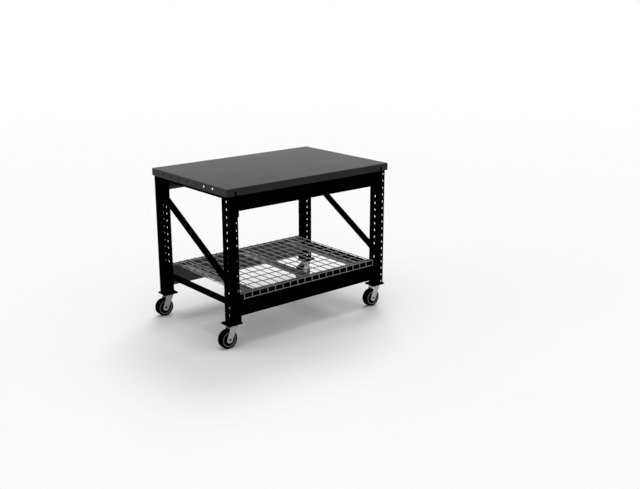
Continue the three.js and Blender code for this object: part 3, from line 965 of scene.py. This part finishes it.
@dataclass
class WireShelf:
    """Welded wire deck with a waterfall edge, on three troughs."""

    node: str = "wire_deck"
    wire: float = 0.006
    bite: float = 0.0005
    press: float = 0.0045
    bend: float = 0.008
    bend_steps: int = 6
    long_count: int = 19
    edge_overhang: float = 0.018
    cross_overhang: float = 0.004
    cross_count: int = 9
    cross_inset: float = 0.0506
    edge_inset: float = 0.016
    sides: int = 12
    trough_sheet: float = 0.0015
    trough_bend: float = 0.00225
    trough_flange: float = 0.014

    def build(self) -> None:
        """Builds the deck and its troughs."""
        self._deck()
        for place in ("left", "centre", "right"):
            self._trough(f"deck_channel_{place}")

    def _deck(self) -> None:
        """Bends the long wires and presses the cross wires into them from below and behind."""
        low, high = corners(self.node)
        half = self.wire / 2
        skin = Skin()
        top = high[2] - half
        span, drop = high[1] - low[1] - self.wire, top - low[2]
        start = (low[1] + half, low[2])
        fold = Fold((drop, span, drop), (-1, -1), self.bend, start, RIGHT_ANGLE, self.bend_steps)
        bent = fold.place(fold.columns())
        ends = np.array([low[0], high[0]])
        outer = ends - self.edge_overhang * BOTH_WAYS
        for x in np.linspace(*outer, self.long_count):
            skin.wire(np.insert(bent, 0, x, axis=1), Axis.X, half, self.sides)
        under = top - self.wire + self.press
        front = corners("post_front_left")[0][1]
        inner = np.linspace(front + self.cross_inset, -front - self.cross_inset, self.cross_count)
        edges = np.array([front + self.edge_inset, -front - self.edge_inset])
        behind = BOTH_WAYS * (low[1] + half + self.wire - self.bite)
        short = outer + self.cross_overhang * BOTH_WAYS
        places = [(y, under, short) for y in inner] + [(y, under, ends) for y in edges]
        places += [(y, low[2] + half, short) for y in behind]
        for y, z, (start, stop) in places:
            path = np.array([[start, y, z], [stop, y, z]])
            skin.wire(path, Axis.Z, half, self.sides)
        skin.piece("deck_wires", DECK_WIRE, FRAME_BODY, self.node)

    def _trough(self, node: str) -> None:
        """Folds one trough: flange, wall, floor, wall, flange.

        Args:
            node: CAD node that the trough stands for.
        """
        low, high = corners(node)
        half = self.trough_sheet / 2
        wall = high[2] - low[2] - self.trough_sheet
        floor = high[0] - low[0] - 2 * self.trough_flange + self.trough_sheet
        flange = self.trough_flange - half
        legs = (flange, wall, floor, wall, flange)
        fold = Fold(legs, (-1, 1, 1, -1), self.trough_bend, (low[0], high[2] - half), 0.0)
        skin = folded_sheet(fold, self.trough_sheet, np.array([low[1], high[1]]), Axis.Y)
        skin.piece(f"{node}_trough", DECK_CHANNEL, FRAME_BODY, node)


@dataclass
class Caster:
    """One swivel caster: plate, kingpin, fork, axle, wheel core and tyre."""

    corner: Corner
    edge: float = 0.001
    pin_edge: float = 0.0005
    gap: float = 0.0003
    fork_sheet: float = 0.004
    fork_bend: float = 0.0055
    fork_edge: float = 0.0012
    fork_left: float = 0.03
    fork_right: float = 0.025
    boss_radius: float = 0.024
    crown_height: float = 0.011
    crown_radius: float = 0.041
    crown_bore: float = 0.0063
    crown_sink: float = 0.001
    crown_round: float = 0.004
    groove_height: float = 0.0078
    groove_half: float = 0.001
    groove_flat: float = 0.0004
    groove_depth: float = 0.0015
    rim_setback: float = 0.0025
    rim_depth: float = 0.007
    hub_radius: float = 0.014
    hub_bore: float = 0.0058
    web_depth: float = 0.02
    web_fillet: float = 0.003
    tyre_power: float = 3.6
    tyre_shoulder: float = 0.004
    bend_steps: int = 6
    boss_steps: int = 12
    crown_steps: int = 5
    tyre_steps: int = 32
    turn_steps: int = 64
    swivel: str = field(init=False)
    wheel: str = field(init=False)
    core_half: Array = field(init=False)
    tyre_half: Array = field(init=False)
    axle: Array = field(init=False)
    pivot: Array = field(init=False)

    def build(self) -> None:
        """Builds the caster's pieces on the frame, its swivel and its wheel."""
        name = self.corner.value
        self.swivel, self.wheel = f"swivel_{name}", f"wheel_{name}"
        self.axle, self.tyre_half = centred(f"tyre_{name}")
        self.core_half = centred(f"wheel_core_{name}")[1]
        self.pivot = centred(f"kingpin_{name}")[0]
        eased(f"caster_plate_{name}", BLACK_PAINT, FRAME_BODY, self.edge)
        eased(f"kingpin_{name}", DARK_STEEL, FRAME_BODY, self.pin_edge)
        self._fork()
        eased(f"axle_{name}", DARK_STEEL, self.swivel, self.edge)
        self._core()
        self._tyre()

    def _fork(self) -> None:
        """Folds the fork from one strip whose width follows its outline, under a turned crown."""
        name = self.corner.value
        low, high = corners(f"fork_{name}")
        half = self.fork_sheet / 2
        inner = self.core_half[1] + self.gap
        bridge_top = high[2] - self.crown_height
        foot = self.axle[2] - self.boss_radius
        leg, start = bridge_top - half - foot, (self.axle[1] - inner - half, foot)
        legs = (leg, 2 * (inner + half), leg)
        fold = Fold(legs, (-1, -1), self.fork_bend, start, RIGHT_ANGLE, self.bend_steps)
        round_end = self.boss_radius * (1 - np.cos(np.linspace(0, RIGHT_ANGLE, self.boss_steps + 1)))
        stops = fold.columns()
        lengths = np.unique(np.concatenate([round_end, stops, stops[-1] - round_end]))
        middle = fold.place(lengths)
        left, right = self._outline(middle[:, 1], low[0], bridge_top - self.fork_sheet)
        skin = Skin()
        skin.grid(self._strip_rings(fold, lengths, left, right), closed=True)
        crown_base = np.array([self.pivot[0], self.pivot[1], bridge_top])
        skin.turned(self._crown(), crown_base, Axis.Z, self.turn_steps)
        skin.piece(f"fork_{name}_plate", ZINC, self.swivel, f"fork_{name}")

    def _crown(self) -> Array:
        """Draws the crown's profile: a round lower rim, a groove between its two races and a flat top.

        Returns:
            Closed profile of (radius, height) over the fork's bridge.
        """
        bore, rim, base, top = self.crown_bore, self.crown_radius, -self.crown_sink, self.crown_height
        turn = np.linspace(0, RIGHT_ANGLE, self.crown_steps + 1)
        lower = np.stack([rim + self.crown_round * (np.sin(turn) - 1),
                          base + self.crown_round * (1 - np.cos(turn))], axis=-1)
        floor, half, flat = rim - self.groove_depth, self.groove_half, self.groove_flat
        groove = [[rim, self.groove_height - half], [floor, self.groove_height - flat],
                  [floor, self.groove_height + flat], [rim, self.groove_height + half]]
        upper = [[rim - self.edge, top], [bore, top], [bore, base]]
        return np.concatenate([[[bore, base]], lower, groove, upper])

    def _outline(self, height: Array, far_left: float, shoulder: float) -> tuple[Array, Array]:
        """Left and right edges of a leg: straight from the shoulder to the axle, then round about it.

        Args:
            height: Heights along the leg's middle.
            far_left: Leftmost x of the fork.
            shoulder: Height at which the legs start below the bridge.

        Returns:
            The x of the left and of the right edge at each height.
        """
        top_left, top_right = self.pivot[0] - self.fork_left, self.pivot[0] + self.fork_right
        share = np.clip((height - self.axle[2]) / (shoulder - self.axle[2]), 0, 1)
        below = np.clip(self.axle[2] - height, 0, None)
        spread = np.sqrt(np.clip(self.boss_radius ** 2 - below ** 2, 0, None))
        left = (1 - share) * (self.axle[0] - spread) + share * top_left
        right = (1 - share) * (self.axle[0] + spread) + share * top_right
        return np.maximum(left, far_left), right

    def _strip_rings(self, fold: Fold, lengths: Array, left: Array, right: Array) -> Array:
        """Bends a strip whose section at each length is a rectangle with cut corners.

        Args:
            fold: The fold that the strip follows.
            lengths: Lengths at which it is divided.
            left: Its left edge at each length.
            right: Its right edge at each length.

        Returns:
            Array of rings by points by coordinates.
        """
        cut = np.minimum(self.fork_edge, (right - left) / 2)
        half = self.fork_sheet / 2
        thin = half - self.fork_edge
        x = np.stack([left + cut, right - cut, right, right, right - cut, left + cut, left, left], axis=1)
        depth = np.array([half, half, thin, -thin, -half, -half, -thin, thin])
        return np.concatenate([x[..., None], fold.place(lengths[:, None], depth)], axis=-1)

    def _core(self) -> None:
        """Turns the wheel core in two closed rings: a bare rim, and a painted dished web with its hub."""
        name = self.corner.value
        rim, hub = self.core_half[:2]
        edge, inner, web = hub - self.rim_setback, rim - self.rim_depth, hub - self.web_depth
        soft = self.edge
        ring = np.array([[inner, edge - soft], [inner + soft, edge], [rim - soft, edge], [rim, edge - soft]])
        dish = np.array([[self.hub_bore, hub], [self.hub_radius - soft, hub], [self.hub_radius, hub - soft],
                         [self.hub_radius + soft, web], [inner - self.web_fillet, web],
                         [inner, web + self.web_fillet]])
        for part, half, finish, nodes in (("rim", ring, WHEEL_CORE, (f"wheel_core_{name}",)),
                                          ("web", dish, BLACK_PAINT, ())):
            profile = np.concatenate([half, half[::-1] * [1.0, -1.0], half[:1]])
            skin = Skin()
            skin.turned(profile, self.axle, Axis.Y, self.turn_steps)
            skin.piece(f"wheel_core_{name}_{part}", finish, self.wheel, *nodes)

    def _tyre(self) -> None:
        """Turns the tyre: a superellipse for its outer half, flat at the rim."""
        name = self.corner.value
        bore = self.core_half[0] + self.gap
        radius, width = self.tyre_half[:2]
        angles = np.linspace(0, np.pi, self.tyre_steps + 1)
        power = 2 / self.tyre_power
        across = width * np.sign(np.cos(angles)) * np.abs(np.cos(angles)) ** power
        soft = self.edge
        shoulder = bore + self.tyre_shoulder
        out = shoulder + (radius - shoulder) * np.abs(np.sin(angles)) ** power
        profile = np.concatenate([[[bore, width - soft]], [[bore + soft, width]], np.stack([out, across], -1),
                                  [[bore + soft, -width]], [[bore, soft - width]], [[bore, width - soft]]])
        skin = Skin()
        skin.turned(profile, self.axle, Axis.Y, self.turn_steps)
        skin.piece(f"tyre_{name}_turned", TYRE, self.wheel, f"tyre_{name}")


@dataclass(frozen=True)
class Lamp:
    """A distant soft lamp.

    The azimuth is the direction from which it shines, from +X towards +Y, and the spread is its apparent
    width, all in degrees; the strength is the light on a surface that faces it, pi being full.
    """

    name: str
    azimuth: float
    elevation: float
    spread: float
    strength: float

    def build(self) -> None:
        """Hangs the lamp."""
        data = bpy.data.lights.new(self.name, "SUN")
        data.angle = math.radians(self.spread)
        data.energy = self.strength
        tilt, turn = math.radians(90.0 - self.elevation), math.radians(self.azimuth + 90.0)
        placed(self.name, data).rotation_euler = (tilt, 0.0, turn)


LAMPS = (
    Lamp("key", azimuth=42.0, elevation=50.0, spread=25.0, strength=0.865),
    Lamp("overhead", azimuth=0.0, elevation=90.0, spread=30.0, strength=0.57),
    Lamp("left_side", azimuth=160.0, elevation=4.0, spread=54.0, strength=0.78),
)


@dataclass
class Studio:
    """Pale floor, white surroundings, soft lamps and the camera of the photograph."""

    floor_half: float = 60.0
    floor_level: float = 0.995
    floor_bounce: float = 0.1
    fade_start: float = 5.0
    fade_end: float = 14.0
    fill_horizon: float = 0.25
    fill_rise: float = 0.45
    camera_place: tuple[float, float, float] = (-3.72545, -4.9976, 2.2815)
    camera_yaw: float = math.radians(40.067)
    camera_pitch: float = math.radians(15.961)
    lens: float = 50.0
    sensor_width: float = 36.0
    sight: float = 500.0

    def build(self) -> None:
        """Builds the stage round the object."""
        self._floor()
        self._world()
        for lamp in LAMPS:
            lamp.build()
        self._camera()

    def _floor(self) -> None:
        """Adds the floor: pale to the camera with the table's shadow on it, dark to the bounced light."""
        size = self.floor_half
        mesh = bpy.data.meshes.new("studio_floor")
        square = [(-size, -size, 0), (size, -size, 0), (size, size, 0), (-size, size, 0)]
        mesh.from_pydata(square, [], [(0, 1, 2, 3)])
        floor = placed("studio_floor", mesh)
        material = bpy.data.materials.new("studio_floor_paper")
        graph = Graph(material)
        distance = graph.node("ShaderNodeVectorMath", {"operation": "LENGTH"}, {0: graph.place()}, "Value")
        far = graph.ramp(distance, self.fade_start, self.fade_end)
        pale = graph.node("ShaderNodeBsdfDiffuse", sockets={"Color": rgba(self.floor_level)})
        white = graph.node("ShaderNodeEmission", sockets={"Color": rgba(1.0), "Strength": 1.0})
        dark = graph.node("ShaderNodeBsdfDiffuse", sockets={"Color": rgba(self.floor_bounce)})
        shown = graph.node("ShaderNodeMixShader", sockets={0: far, 1: pale, 2: white})
        mixed = graph.node("ShaderNodeMixShader", sockets={0: graph.seen(), 1: dark, 2: shown})
        graph.node("ShaderNodeOutputMaterial", sockets={"Surface": mixed})
        mesh.materials.append(material)

    def _world(self) -> None:
        """Makes the world white to the camera, and to the rest a weak fill that rises with the height."""
        world = bpy.data.worlds.new("studio")
        graph = Graph(world)
        fill = self.fill_horizon + graph.height(graph.place()).at_least(0.0) * self.fill_rise
        seen = graph.seen()
        level = seen + (1.0 - seen) * fill
        shader = graph.node("ShaderNodeBackground", sockets={"Color": rgba(1.0), "Strength": level})
        graph.node("ShaderNodeOutputWorld", sockets={"Surface": shader})
        bpy.context.scene.world = world

    def _camera(self) -> None:
        """Places the camera as the photograph's was."""
        data = bpy.data.cameras.new("camera")
        data.lens = self.lens
        data.sensor_width = self.sensor_width
        data.clip_end = self.sight
        camera = placed("camera", data)
        camera.location = self.camera_place
        camera.rotation_euler = (RIGHT_ANGLE - self.camera_pitch, 0.0, -self.camera_yaw)
        bpy.context.scene.camera = camera
        bpy.context.scene.view_settings.view_transform = "Standard"


def main() -> None:
    """Loads the frame into an emptied scene and builds the table and its stage."""
    logging.basicConfig(level=logging.INFO, format="%(name)s: %(message)s")
    for leftover in list(bpy.data.objects):
        bpy.data.objects.remove(leftover)
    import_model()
    for part in (Worktop(), Posts(), EndFrames(), Beams(), WireShelf(), *map(Caster, Corner), Studio()):
        part.build()


if __name__ == "__main__":
    main()
